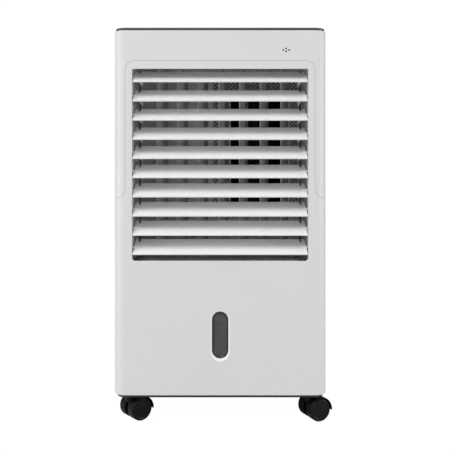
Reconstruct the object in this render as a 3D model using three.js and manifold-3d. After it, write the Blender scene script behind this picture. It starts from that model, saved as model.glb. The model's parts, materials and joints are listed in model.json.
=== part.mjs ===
// Portable evaporative cooler: a tall cabinet on four twin-wheel casters, with ten tilting louvres
// over seven swinging vanes at the front, a wet pad behind a dust grille at the back, and a water
// tank that slides out at the lower back.
// Millimetres. +X is the viewer's right, -Y the front, +Z up. The origin is on the floor, under the
// middle of the cabinet.
import * as THREE from 'three';
import { mergeVertices } from 'three/addons/utils/BufferGeometryUtils.js';
import Module from 'manifold-3d';

const manifold = await Module();
manifold.setup();

// ---- Driving dimensions -------------------------------------------------------------------------
const CABINET = { width: 385, depth: 310, corner: 22, wall: 3 };
const BASE = { bottom: 47, top: 52, inset: 5 };
const ROOF = { bottom: 709, top: 714, inset: 2 };
const GAP = 0.3; // clearance between pieces that are fixed to each other
const MOVING_GAP = 0.6; // clearance round a cover or drawer
const RUN = 0.5; // radial clearance round a turning pin

const FRONT = -CABINET.depth / 2;
const BACK = CABINET.depth / 2;
const SIDE = CABINET.width / 2;
const INNER_FRONT = FRONT + CABINET.wall;
const INNER_BACK = BACK - CABINET.wall;
const REAR_HALF = SIDE - CABINET.corner;

const SEAM = { arch: 171, archTop: 654.5, archCorner: 17, shoulder: 407, flare: 16.5, returnDepth: 30 };
const OUTLET = { half: 158.5, bottom: 294, top: 639.3, corner: 6 };
const WINDOW = { width: 29.7, height: 84.3, z: 160.7, rim: 3.6, sunk: 1.4, flange: 4 };
const RECEIVER = { x: 118.8, z: 673.4, half: 9, depth: 4.7, dotRadius: 1.3, dotX: 5.2, dotZ: 2.6 };

const DUCT = { half: 159.5, bottom: 287.5, top: 654.5, wall: 2.7, back: -30 };
const SILL = { half: 142, top: 293.4, back: FRONT + 71 };

// A louvre's chord runs along u, from -chord / 2 at the front edge; v is square to it, upwards.
const LOUVRE = {
  count: 10, pitch: 34.5, topZ: 627.5, pivotY: FRONT + 20, half: 157.7, chord: 46, thick: 2.4, droop: 29.5,
  endTaper: 1, slotU: 13.5, slotClear: 0.6, pinRadius: 2.3,
};
const LUG = { inner: 144.2, thick: 2.6, u: 16.7, v: -23.2, radius: 4, pinRadius: 1.8 };
const LINK = { inner: 147.4, thick: 2.6, halfWidth: 4 };

const VANE = {
  count: 7, pitch: 39, middle: 6, y: FRONT + 80, chord: 44, thick: 2.4, turn: -22.5, bottom: 303, top: 647,
  postRadius: 2.2,
};
const VANE_ARM = { reach: 18, half: 4, bottom: 298.5, pinRadius: 1.8 };
const VANE_LINK = { bottom: 293.2, top: 297.2 };
const CRANK = { x: VANE.middle - 2.5 * VANE.pitch, bottom: 288.6, top: 292.4, shaftRadius: 2.5 };
const SWING_MOTOR = { radius: 14, height: 20, earReach: 21, earHalf: 4, earThick: 2 };

const MOUTH_LEFT = 21; // the duct's rear wall covers the blower's outlet to the left of this
const BLOWER = {
  x: 59, y: 45, radius: 58, left: -14, right: 132, bottom: 373, top: 605, back: 108, wall: 3, corner: 30,
  inletHalf: 46, inletRim: 8, blades: 16, bladeChord: 13, bladeThick: 1.6, bladeLean: 35, disc: 3, clear: 4,
  shaftRadius: 4,
};
const BLOWER_MOTOR = { radius: 42, bottom: 319, top: 363, neck: 18 };

const INTAKE = {
  half: 140, bottom: 307, top: 667, thick: 6.5, slatPitch: 15, slot: 9, columns: 2, border: 12,
};
const FILTER = { thick: 4, inset: 4 };
const PAD = { half: 142, bottom: 303, top: 669, front: 114, back: 139 };
const TROUGH = { half: 140, height: 13, wall: 2, holePitch: 35, holeRadius: 1.5 };

const TANK = {
  half: 146, bottom: 87, top: 222, front: -146, wall: 3, faceHalf: 149.4, faceBottom: 73.6, faceTop: 236.4,
  faceThick: 5,
};
const GRIP = { half: 45, bottom: 175, top: 205, depth: 22, wall: 3 };
const DRAIN = { x: 110, z: 103, stem: 6, cap: 9, capThick: 3 };
const PUMP = { x: -110, y: 60, width: 46, depth: 56, height: 52, nozzleRadius: 5, nozzleTop: 225 };
const HOSE = { radius: 4.5, start: 226.5, pipeX: -152, overPad: 25, intoTrough: 34, steps: 20 };
const RAIL = { x: 95, width: 12, front: -130, back: 140 };
const CORD = {
  radius: 3, y: BACK + 3.6, x: 75, z: 271, loops: 2, loopSteps: 12, pitch: 8, halfWidth: 45,
  halfHeight: 18, steps: 52,
};

const DISPLAY = { half: 32, front: -124, back: -102, flange: 3, sunk: 0.3 };
const BUTTON = { radius: 8, flange: 10, proud: 0.9, y: -113, xs: [-80, -54, 54, 80] };
const BOARD = { half: 98, front: -130, back: -95, bottom: 695, top: 697 };

const CASTER = {
  x: 164, y: 125, trail: 10, wheelRadius: 21, wheelWidth: 19.5, wheelEdge: 3.5, wheelRim: 1.5,
  wheelDish: 1.2, webHalf: 4, hoodInner: 21.8, hoodOuter: 23.6, hoodHalf: 25.5, hoodFrom: -4, hoodTo: 118,
  hubRadius: 12, stemRadius: 5, stemTop: 69, collarRadius: 12, axleRadius: 3, axleHalf: 22.3,
};
const SOCKET = { radius: 12, top: 73 };
const FOOT = { half: 30, proud: 2 };

// The four caster places, as signs of x and y, and the way each one's wheels trail, in degrees from +X.
const CORNERS = [
  { name: 'front_left', sx: -1, sy: -1, yaw: 39 },
  { name: 'front_right', sx: 1, sy: -1, yaw: 24 },
  { name: 'rear_left', sx: -1, sy: 1, yaw: 217 },
  { name: 'rear_right', sx: 1, sy: 1, yaw: 214 },
];

// Curve steps: every arc or full circle is drawn with twice as many flats. A wheel is turned in
// `lathe` steps.
const ROUND = { pin: 3, bar: 5, drum: 8, corner: 3, hood: 4, lathe: 16 };

// ---- Colours ------------------------------------------------------------------------------------
const finish = (color, roughness, metalness = 0) =>
  new THREE.MeshStandardMaterial({ color, roughness, metalness });
const WHITE = finish(0xdcdcda, 0.42);
const BLADE_WHITE = finish(0xf0f0ee, 0.4);
const CHARCOAL = finish(0x55565a, 0.45);
const DARK_GREY = finish(0x4c4d50, 0.55);
const BLACK = finish(0x161617, 0.5);
const GREY_WALL = finish(0xa9aaab, 0.6);
const VANE_GREY = finish(0x8e8f90, 0.5);
const SMOKE = finish(0x3f4143, 0.15);
const STEEL = finish(0x9da0a3, 0.35, 0.9);
const BOARD_GREEN = finish(0x2d5a3a, 0.6);
const CELLULOSE = finish(0x9a7b52, 0.95);
const RUBBER = finish(0x202021, 0.8);
const TANK_GREY = finish(0xc6c9ca, 0.4);

// ---- Geometry helpers ---------------------------------------------------------------------------
const rad = THREE.MathUtils.degToRad;

/** A closed three.js geometry as a solid that can be cut and joined. */
function solid(geometry) {
  const bare = geometry.clone();
  bare.deleteAttribute('normal');
  bare.deleteAttribute('uv');
  const merged = mergeVertices(bare, 1e-4);
  const mesh = new manifold.Mesh({
    numProp: 3,
    vertProperties: new Float32Array(merged.attributes.position.array),
    triVerts: new Uint32Array(merged.index.array),
  });
  return new manifold.Manifold(mesh);
}

/** A solid back as a three.js geometry. */
function geometryOf(body) {
  const mesh = body.getMesh();
  const geometry = new THREE.BufferGeometry();
  geometry.setAttribute('position', new THREE.BufferAttribute(mesh.vertProperties, 3));
  geometry.setIndex(new THREE.BufferAttribute(mesh.triVerts, 1));
  geometry.computeVertexNormals();
  return geometry;
}

const join = (...bodies) => bodies.reduce((sum, body) => sum.add(body));
const cut = (body, ...tools) => tools.reduce((rest, tool) => rest.subtract(tool), body);
const indices = (count) => [...Array(count).keys()];

/** A box between two corners. */
function box(x0, x1, y0, y1, z0, z1) {
  const geometry = new THREE.BoxGeometry(x1 - x0, y1 - y0, z1 - z0);
  geometry.translate((x0 + x1) / 2, (y0 + y1) / 2, (z0 + z1) / 2);
  return solid(geometry);
}

const AXES = {
  x: new THREE.Matrix4().makeBasis(
    new THREE.Vector3(0, 1, 0), new THREE.Vector3(0, 0, 1), new THREE.Vector3(1, 0, 0)),
  y: new THREE.Matrix4().makeBasis(
    new THREE.Vector3(1, 0, 0), new THREE.Vector3(0, 0, 1), new THREE.Vector3(0, -1, 0)),
  z: new THREE.Matrix4(),
};

/** An outline swept along an axis: drawn in (x, y) for z, in (x, z) for y and in (y, z) for x. */
function prism(outline, axis, from, to, flats = ROUND.corner) {
  const options = { depth: to - from, bevelEnabled: false, curveSegments: flats };
  const geometry = new THREE.ExtrudeGeometry(outline, options);
  geometry.translate(0, 0, axis === 'y' ? -to : from);
  geometry.applyMatrix4(AXES[axis]);
  return solid(geometry);
}

/** A straight round bar along an axis, centred at (a, b) in that axis's drawing plane. */
function rod(axis, a, b, radius, from, to, flats = ROUND.bar) {
  const circle = new THREE.Shape();
  circle.absarc(a, b, radius, 0, 2 * Math.PI);
  return prism(circle, axis, from, to, flats);
}

/** A rectangle with round corners, between two corners of the drawing plane. */
function roundedRect(a0, a1, b0, b1, r) {
  const shape = new THREE.Shape();
  shape.moveTo(a0 + r, b0);
  shape.lineTo(a1 - r, b0);
  shape.absarc(a1 - r, b0 + r, r, -Math.PI / 2, 0);
  shape.lineTo(a1, b1 - r);
  shape.absarc(a1 - r, b1 - r, r, 0, Math.PI / 2);
  shape.lineTo(a0 + r, b1);
  shape.absarc(a0 + r, b1 - r, r, Math.PI / 2, Math.PI);
  shape.lineTo(a0, b0 + r);
  shape.absarc(a0 + r, b0 + r, r, Math.PI, 1.5 * Math.PI);
  return shape;
}

/** The cabinet's plan outline, drawn in by an inset. */
const plan = (inset) =>
  roundedRect(-SIDE + inset, SIDE - inset, FRONT + inset, BACK - inset, CABINET.corner - inset);

/** A rectangle whose short ends are round, between two corners of the drawing plane. */
function stadium(a0, a1, b0, b1) {
  const almost = 0.01; // leaves a hair of straight edge, so that no two outline points meet
  return roundedRect(a0, a1, b0, b1, Math.min(a1 - a0, b1 - b0) / 2 - almost);
}

/** A round bar that follows a smooth path. */
function hose(points, radius, steps) {
  const circle = new THREE.Shape();
  circle.absarc(0, 0, radius, 0, 2 * Math.PI);
  const extrudePath = new THREE.CatmullRomCurve3(points.map((p) => new THREE.Vector3(...p)));
  return solid(new THREE.ExtrudeGeometry(circle, { steps, curveSegments: ROUND.pin, extrudePath }));
}

// ---- Casing -------------------------------------------------------------------------------------
/** The front panel's outline: full width below the shoulders, a round-topped arch above them. */
function frontOutline(grow) {
  const arch = SEAM.arch + grow;
  const top = SEAM.archTop + grow;
  const shoulder = SEAM.shoulder + grow;
  const flare = SEAM.flare - grow;
  const corner = SEAM.archCorner + grow;
  const beyond = SIDE + 1;
  const shape = new THREE.Shape();
  shape.moveTo(-beyond, BASE.top + GAP);
  shape.lineTo(beyond, BASE.top + GAP);
  shape.lineTo(beyond, shoulder);
  shape.lineTo(arch + flare, shoulder);
  shape.absarc(arch + flare, shoulder + flare, flare, -Math.PI / 2, -Math.PI, true);
  shape.lineTo(arch, top - corner);
  shape.absarc(arch - corner, top - corner, corner, 0, Math.PI / 2);
  shape.lineTo(-arch + corner, top);
  shape.absarc(-arch + corner, top - corner, corner, Math.PI / 2, Math.PI);
  shape.lineTo(-arch, shoulder + flare);
  shape.absarc(-arch - flare, shoulder + flare, flare, 0, -Math.PI / 2, true);
  shape.lineTo(-beyond, shoulder);
  return shape;
}

/** The four upright walls of the cabinet as one thin tube. */
function walls() {
  const outer = prism(plan(0), 'z', BASE.top + GAP, ROOF.bottom - GAP);
  return cut(outer, prism(plan(CABINET.wall), 'z', BASE.bottom, ROOF.top));
}

/** The level window's upright outline, drawn in by an inset. */
const windowOutline = (inset) => stadium(
  -WINDOW.width / 2 + inset, WINDOW.width / 2 - inset,
  WINDOW.z - WINDOW.height / 2 + inset, WINDOW.z + WINDOW.height / 2 - inset);

function frontPanel() {
  const reach = prism(frontOutline(-GAP), 'y', FRONT - 1, FRONT + SEAM.returnDepth - GAP);
  const outlet = roundedRect(-OUTLET.half, OUTLET.half, OUTLET.bottom, OUTLET.top, OUTLET.corner);
  return cut(
    walls().intersect(reach),
    prism(outlet, 'y', FRONT - 1, INNER_FRONT + 1),
    prism(windowOutline(0), 'y', FRONT - 1, INNER_FRONT + 1),
  );
}

function mainHousing() {
  const reach = prism(frontOutline(GAP), 'y', FRONT - 1, FRONT + SEAM.returnDepth + GAP);
  const rear = box(-REAR_HALF - GAP, REAR_HALF + GAP, INNER_BACK - 1, BACK + 1, BASE.bottom, ROOF.top);
  const dots = [[-1, 0], [1, 0], [0, -1], [0, 1]].map(([i, j]) => rod(
    'y', RECEIVER.x + i * RECEIVER.dotX, RECEIVER.z + j * RECEIVER.dotZ, RECEIVER.dotRadius,
    FRONT - 1, INNER_FRONT + 1, ROUND.pin));
  return cut(walls(), reach, rear, ...dots);
}

function rearPanel() {
  const plate = box(-REAR_HALF, REAR_HALF, INNER_BACK, BACK, BASE.top + GAP, ROOF.bottom - GAP);
  const opening = (half, bottom, top) => box(
    -half - MOVING_GAP, half + MOVING_GAP, 0, BACK + 1, bottom - MOVING_GAP, top + MOVING_GAP);
  return cut(
    plate,
    opening(INTAKE.half, INTAKE.bottom, INTAKE.top),
    opening(TANK.faceHalf, TANK.faceBottom, TANK.faceTop),
    rod('y', CORD.x - CORD.halfWidth, CORD.z, CORD.radius + GAP, 0, BACK + 1),
  );
}

function basePlate() {
  const rimTop = BASE.top + 10;
  const rimInset = CABINET.wall + GAP;
  const rim = cut(
    prism(plan(rimInset), 'z', BASE.top - 1, rimTop),
    prism(plan(rimInset + CABINET.wall), 'z', BASE.bottom, rimTop + 1),
  );
  const rails = [-1, 1].map((s) => box(
    s * RAIL.x - RAIL.width / 2, s * RAIL.x + RAIL.width / 2, RAIL.front, RAIL.back,
    BASE.bottom + 1, TANK.bottom - GAP));
  const sockets = CORNERS.map(({ sx, sy }) => rod(
    'z', sx * CASTER.x, sy * CASTER.y, SOCKET.radius, BASE.bottom + 1, SOCKET.top, ROUND.bar));
  const bores = CORNERS.map(({ sx, sy }) => rod(
    'z', sx * CASTER.x, sy * CASTER.y, CASTER.stemRadius + RUN, 0, CASTER.stemTop + 1, ROUND.bar));
  const foot = box(-FOOT.half, FOOT.half, -FOOT.half, FOOT.half, BASE.bottom - FOOT.proud, BASE.bottom + 1);
  const doorway = box(-TANK.faceHalf - 1, TANK.faceHalf + 1, 0, BACK, BASE.top, SOCKET.top + 20);
  const plate = prism(plan(BASE.inset), 'z', BASE.bottom, BASE.top);
  return cut(join(cut(rim, doorway), plate, foot, ...rails, ...sockets), ...bores);
}

function topCover() {
  const rimBottom = ROOF.bottom - 8;
  const rimInset = CABINET.wall + GAP;
  const rim = cut(
    prism(plan(rimInset), 'z', rimBottom, ROOF.bottom + 1),
    prism(plan(rimInset + CABINET.wall), 'z', rimBottom - 1, ROOF.bottom),
  );
  const holes = BUTTON.xs.map((x) => rod('z', x, BUTTON.y, BUTTON.radius + RUN, rimBottom, ROOF.top + 1));
  const display = box(-DISPLAY.half, DISPLAY.half, DISPLAY.front, DISPLAY.back, rimBottom, ROOF.top + 1);
  return cut(join(rim, prism(plan(ROOF.inset), 'z', ROOF.bottom, ROOF.top)), display, ...holes);
}

function displayWindow() {
  const d = DISPLAY;
  const lens = box(
    -d.half + GAP, d.half - GAP, d.front + GAP, d.back - GAP, ROOF.bottom - 2, ROOF.top - d.sunk);
  const flange = box(
    -d.half - d.flange, d.half + d.flange, d.front - d.flange, d.back + d.flange,
    ROOF.bottom - 4, ROOF.bottom - GAP);
  return join(lens, flange);
}

const controlBoard = () => box(-BOARD.half, BOARD.half, BOARD.front, BOARD.back, BOARD.bottom, BOARD.top);

function button(x) {
  const cap = rod('z', x, BUTTON.y, BUTTON.radius, ROOF.bottom - 2, ROOF.top + BUTTON.proud);
  return join(cap, rod('z', x, BUTTON.y, BUTTON.flange, ROOF.bottom - 4, ROOF.bottom - 1));
}

function levelWindow() {
  const face = FRONT + WINDOW.sunk;
  const bezel = prism(windowOutline(GAP), 'y', face, INNER_FRONT + 2);
  const flange = prism(windowOutline(-WINDOW.flange), 'y', INNER_FRONT + GAP, INNER_FRONT + 2.5);
  const dish = prism(windowOutline(WINDOW.rim), 'y', FRONT - 1, face + WINDOW.sunk);
  return cut(join(bezel, flange), dish);
}

function remoteReceiver() {
  const { x, z, half, depth } = RECEIVER;
  const front = INNER_FRONT + GAP;
  return box(x - half, x + half, front, front + depth, z - half, z + half);
}

// ---- Air outlet: duct, louvres and vanes --------------------------------------------------------
const louvreZ = (i) => LOUVRE.topZ - i * LOUVRE.pitch;
const vaneX = (i) => VANE.middle + (i - (VANE.count - 1) / 2) * VANE.pitch;

function outletDuct() {
  const w = DUCT.wall;
  const start = INNER_FRONT + GAP;
  const shell = cut(
    box(-DUCT.half - w, DUCT.half + w, start, DUCT.back + w, DUCT.bottom - w, DUCT.top + w),
    box(-DUCT.half, DUCT.half, start - 1, DUCT.back, DUCT.bottom, DUCT.top),
    box(MOUTH_LEFT, BLOWER.right, DUCT.back - 1, DUCT.back + w + 1, BLOWER.bottom, BLOWER.top),
  );
  const sill = box(-SILL.half, SILL.half, start, SILL.back, DUCT.bottom - w, SILL.top);
  const underSill = box(
    -SILL.half + w, SILL.half - w, start + w, SILL.back - w, DUCT.bottom - w - 1, SILL.top - w);
  const louvreHoles = indices(LOUVRE.count).map((i) => rod(
    'x', LOUVRE.pivotY, louvreZ(i), LOUVRE.pinRadius + RUN, -SIDE, SIDE, ROUND.pin));
  const vaneHoles = indices(VANE.count).map((i) => rod(
    'z', vaneX(i), VANE.y, VANE.postRadius + RUN, DUCT.bottom - w - 1, DUCT.top + w + 1, ROUND.pin));
  const crankHole = rod(
    'z', CRANK.x, VANE.y, CRANK.shaftRadius + RUN, DUCT.bottom - w - 1, DUCT.bottom + 1, ROUND.pin);
  return cut(join(shell, sill), underSill, crankHole, ...louvreHoles, ...vaneHoles);
}

/** One louvre about its own pivot, lying level, front edge towards -Y. The link bars pass its slots. */
function louvre() {
  const lead = -LOUVRE.chord / 2;
  const tail = LOUVRE.chord / 2;
  const slotInner = LINK.inner - LOUVRE.slotClear;
  const slotOuter = LINK.inner + LINK.thick + LOUVRE.slotClear;
  const rightHalf = [
    [LOUVRE.half, lead], [LOUVRE.half - LOUVRE.endTaper, tail], [slotOuter, tail],
    [slotOuter, LOUVRE.slotU], [slotInner, LOUVRE.slotU], [slotInner, tail],
  ];
  const leftHalf = rightHalf.map(([x, u]) => [-x, u]).reverse();
  const blade = new THREE.Shape([...rightHalf, ...leftHalf].map(([x, u]) => new THREE.Vector2(x, u)));
  const half = LOUVRE.thick / 2;
  const sides = [-1, 1].map((s) => {
    const lug = new THREE.Shape();
    lug.moveTo(lead + 5, 0);
    lug.lineTo(LUG.u - 1, LUG.v - LUG.radius);
    lug.absarc(LUG.u, LUG.v, LUG.radius, -Math.PI / 2, 0);
    lug.lineTo(LUG.u - 2, 0);
    const at = (a, b) => [Math.min(s * a, s * b), Math.max(s * a, s * b)];
    return join(
      prism(lug, 'x', ...at(LUG.inner, LUG.inner + LUG.thick), 2),
      rod('x', LUG.u, LUG.v, LUG.pinRadius, ...at(LUG.inner + 1, LINK.inner + LINK.thick + 1.2), ROUND.pin),
      rod('x', 0, 0, LOUVRE.pinRadius, ...at(LOUVRE.half - 8, DUCT.half + DUCT.wall - 0.2), ROUND.pin),
    );
  });
  return join(prism(blade, 'z', -half, half), ...sides);
}

/** The lug pin's place beside the louvre's pivot, at rest, as [y, z]. */
function lugAtRest() {
  const a = rad(LOUVRE.droop);
  return [LUG.u * Math.cos(a) - LUG.v * Math.sin(a), LUG.u * Math.sin(a) + LUG.v * Math.cos(a)];
}

function louvreLink(side) {
  const [dy, dz] = lugAtRest();
  const y = LOUVRE.pivotY + dy;
  const outer = LINK.inner + LINK.thick;
  const [from, to] = side < 0 ? [-outer, -LINK.inner] : [LINK.inner, outer];
  const bottom = louvreZ(LOUVRE.count - 1) + dz - LINK.halfWidth;
  const top = louvreZ(0) + dz + LINK.halfWidth;
  const bar = stadium(y - LINK.halfWidth, y + LINK.halfWidth, bottom, top);
  const holes = indices(LOUVRE.count).map((i) => rod(
    'x', y, louvreZ(i) + dz, LUG.pinRadius + RUN, from - 1, to + 1, ROUND.pin));
  return cut(prism(bar, 'x', from, to, 2), ...holes);
}

/** The outline of a vane's drive arm or of the swing crank, reaching from its pivot towards +Y. */
const armOutline = () =>
  stadium(-VANE_ARM.half, VANE_ARM.half, -VANE_ARM.half, VANE_ARM.reach + VANE_ARM.half);

/** One vane about its own upright pivot, chord along Y, with its drive arm at the foot. */
function vane() {
  const half = VANE.chord / 2;
  const t = VANE.thick / 2;
  return join(
    box(-t, t, -half, half, VANE.bottom, VANE.top),
    rod('z', 0, 0, VANE.postRadius, DUCT.bottom - DUCT.wall + 0.2, DUCT.top + DUCT.wall - 0.2, ROUND.pin),
    prism(armOutline(), 'z', VANE_ARM.bottom, VANE.bottom + 1, 2),
    rod('z', 0, VANE_ARM.reach, VANE_ARM.pinRadius, VANE_LINK.bottom - 0.6, VANE_ARM.bottom + 1, ROUND.pin),
  );
}

/** How far each vane's drive pin stands from its pivot, at rest, as [x, y]. */
function armAtRest() {
  const a = rad(VANE.turn);
  return [-VANE_ARM.reach * Math.sin(a), VANE_ARM.reach * Math.cos(a)];
}

function vaneLink() {
  const [dx, dy] = armAtRest();
  const pins = [...indices(VANE.count).map(vaneX), CRANK.x].map((x) => x + dx);
  const y = VANE.y + dy;
  const w = VANE_ARM.half;
  const bar = stadium(Math.min(...pins) - w, Math.max(...pins) + w, y - w, y + w);
  const holes = pins.map((x) => rod(
    'z', x, y, VANE_ARM.pinRadius + RUN, VANE_LINK.bottom - 1, VANE_LINK.top + 1, ROUND.pin));
  return cut(prism(bar, 'z', VANE_LINK.bottom, VANE_LINK.top, 2), ...holes);
}

function swingCrank() {
  return join(
    prism(armOutline(), 'z', CRANK.bottom, CRANK.top, 2),
    rod('z', 0, VANE_ARM.reach, VANE_ARM.pinRadius, CRANK.top - 1, VANE_LINK.top - 0.4, ROUND.pin),
    rod('z', 0, 0, CRANK.shaftRadius, DUCT.bottom - 12, CRANK.bottom + 1, ROUND.pin),
  );
}

function swingMotor() {
  const { radius, height, earReach, earHalf, earThick } = SWING_MOTOR;
  const top = DUCT.bottom - DUCT.wall - GAP;
  const can = rod('z', CRANK.x, VANE.y, radius, top - height, top);
  const ears = box(
    CRANK.x - earReach, CRANK.x + earReach, VANE.y - earHalf, VANE.y + earHalf, top - earThick, top);
  const bore = rod('z', CRANK.x, VANE.y, CRANK.shaftRadius + RUN, top - 14, top + 1, ROUND.pin);
  return cut(join(can, ears), bore);
}

// ---- Blower -------------------------------------------------------------------------------------
function blowerHousing() {
  const b = BLOWER;
  const front = DUCT.back + DUCT.wall + GAP;
  const outer = roundedRect(b.left - b.wall, b.right + b.wall, front, b.back + b.wall, b.corner);
  const inner = roundedRect(b.left, b.right, front - 2 * b.corner, b.back, b.corner - b.wall);
  const squareFront = box(
    b.left - b.wall, b.right + b.wall, front, front + b.corner + 5, b.bottom - b.wall, b.top + b.wall);
  const block = join(prism(outer, 'z', b.bottom - b.wall, b.top + b.wall), squareFront);
  return cut(
    block,
    prism(inner, 'z', b.bottom, b.top),
    box(
      b.x - b.inletHalf, b.x + b.inletHalf, b.y, b.back + b.wall + 1,
      b.bottom + b.inletRim, b.top - b.inletRim),
    rod('z', b.x, b.y, b.shaftRadius + RUN, b.bottom - 20, b.top + 20),
  );
}

function blowerWheel() {
  const b = BLOWER;
  const low = b.bottom + b.clear;
  const high = b.top - b.clear;
  const discs = [low, (low + high - b.disc) / 2, high - b.disc].map((z) => rod(
    'z', 0, 0, b.radius, z, z + b.disc, ROUND.drum));
  const blades = indices(b.blades).map((i) => {
    const blade = new THREE.BoxGeometry(b.bladeThick, b.bladeChord, high - low - 0.4);
    blade.rotateZ(rad(b.bladeLean));
    blade.translate(0, b.radius - b.bladeChord / 2 - 0.5, (low + high) / 2);
    blade.rotateZ((i / b.blades) * 2 * Math.PI);
    return solid(blade);
  });
  const shaft = rod('z', 0, 0, b.shaftRadius, BLOWER_MOTOR.top - 14, b.top + b.wall - 0.2);
  return join(shaft, ...discs, ...blades);
}

function blowerMotor() {
  const m = BLOWER_MOTOR;
  const top = BLOWER.bottom - BLOWER.wall - GAP;
  return cut(
    join(
      rod('z', BLOWER.x, BLOWER.y, m.radius, m.bottom, m.top, ROUND.drum),
      rod('z', BLOWER.x, BLOWER.y, m.neck, m.top - 1, top),
    ),
    rod('z', BLOWER.x, BLOWER.y, BLOWER.shaftRadius + RUN, m.top - 16, top + 1),
  );
}

// ---- Air intake and wet pad ---------------------------------------------------------------------
function intakeGrille() {
  const { half, bottom, top, thick, slatPitch, slot, columns, border } = INTAKE;
  const plate = box(-half, half, BACK - thick, BACK, bottom, top);
  const columnWidth = (2 * half - border * (columns + 1)) / columns;
  const rows = Math.floor((top - bottom - 2 * border) / slatPitch);
  const start = (bottom + top - rows * slatPitch) / 2 + (slatPitch - slot) / 2;
  const slots = indices(columns).flatMap((c) => indices(rows).map((r) => {
    const x = -half + border + c * (columnWidth + border);
    const z = start + r * slatPitch;
    return box(x, x + columnWidth, BACK - thick - 1, BACK + 1, z, z + slot);
  }));
  return cut(plate, ...slots);
}

function dustFilter() {
  const back = BACK - INTAKE.thick - GAP;
  const { thick, inset } = FILTER;
  const half = INTAKE.half - inset;
  return box(-half, half, back - thick, back, INTAKE.bottom + inset, INTAKE.top - inset);
}

const coolingPad = () => box(-PAD.half, PAD.half, PAD.front, PAD.back, PAD.bottom, PAD.top);

function waterDistributor() {
  const { half, height, wall, holePitch, holeRadius } = TROUGH;
  const bottom = PAD.top + GAP;
  const front = PAD.front + 1;
  const back = PAD.back - 1;
  const middle = (front + back) / 2;
  const count = Math.floor((2 * half) / holePitch);
  const holes = indices(count).map((i) => rod(
    'z', (i - (count - 1) / 2) * holePitch, middle, holeRadius, bottom - 1, bottom + wall + 1, ROUND.pin));
  return cut(
    box(-half, half, front, back, bottom, bottom + height),
    box(-half + wall, half - wall, front + wall, back - wall, bottom + wall, bottom + height + 1),
    ...holes,
  );
}

// ---- Water --------------------------------------------------------------------------------------
function waterTank() {
  const t = TANK;
  const g = GRIP;
  const faceFront = BACK - t.faceThick;
  const tub = cut(
    box(-t.half, t.half, t.front, faceFront + 1, t.bottom, t.top),
    box(-t.half + t.wall, t.half - t.wall, t.front + t.wall, faceFront, t.bottom + t.wall, t.top + 1),
  );
  const face = box(-t.faceHalf, t.faceHalf, faceFront, BACK, t.faceBottom, t.faceTop);
  const gripShell = box(
    -g.half - g.wall, g.half + g.wall, BACK - g.depth - g.wall, faceFront + 1,
    g.bottom - g.wall, g.top + g.wall);
  const gripHollow = box(-g.half, g.half, BACK - g.depth, BACK + 1, g.bottom, g.top);
  const drain = rod('y', DRAIN.x, DRAIN.z, DRAIN.stem + RUN, faceFront - 1, BACK + 1);
  return cut(join(tub, face, gripShell), gripHollow, drain);
}

function drainPlug() {
  const stem = rod('y', DRAIN.x, DRAIN.z, DRAIN.stem, BACK - TANK.faceThick - 4, BACK + 1);
  return join(stem, rod('y', DRAIN.x, DRAIN.z, DRAIN.cap, BACK + GAP, BACK + GAP + DRAIN.capThick));
}

function pumpBody() {
  const { x, y, width, depth, height, nozzleRadius, nozzleTop } = PUMP;
  const floor = TANK.bottom + TANK.wall + GAP;
  const body = box(x - width / 2, x + width / 2, y - depth / 2, y + depth / 2, floor, floor + height);
  return cut(
    join(body, rod('z', x, y, nozzleRadius, floor + height - 1, nozzleTop)),
    rod('z', x, y, nozzleRadius - 1.5, floor + height + 4, nozzleTop + 1),
  );
}

/** The hose from above the pump's nozzle, up beside the pad, to over the trough. */
function riserHose() {
  const { radius, start, pipeX, overPad, intoTrough, steps } = HOSE;
  const pipeY = (PAD.front + PAD.back) / 2;
  const top = PAD.top + overPad;
  return hose([
    [PUMP.x, PUMP.y, start],
    [PUMP.x, PUMP.y, start + 18],
    [pipeX + 6, pipeY - 30, PAD.bottom - 12],
    [pipeX, pipeY, PAD.bottom + 40],
    [pipeX, pipeY, PAD.top - 20],
    [pipeX + 4, pipeY, top - 6],
    [pipeX + intoTrough / 2, pipeY, top],
    [pipeX + intoTrough, pipeY, top],
  ], radius, steps);
}

/** The mains lead: out through the rear panel and coiled inwards in a flat hank. */
function powerCord() {
  const entry = CORD.x - CORD.halfWidth;
  const turns = indices(CORD.loops * CORD.loopSteps + 1).map((i) => {
    const turn = i / CORD.loopSteps;
    const angle = Math.PI + turn * 2 * Math.PI;
    const a = CORD.halfWidth - turn * CORD.pitch;
    const b = CORD.halfHeight - turn * CORD.pitch;
    return [CORD.x + a * Math.cos(angle), CORD.y, CORD.z - b * Math.sin(angle)];
  });
  const lead = [[entry, INNER_BACK - 10, CORD.z], [entry, INNER_BACK + 1, CORD.z], ...turns];
  return hose(lead, CORD.radius, CORD.steps);
}

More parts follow.
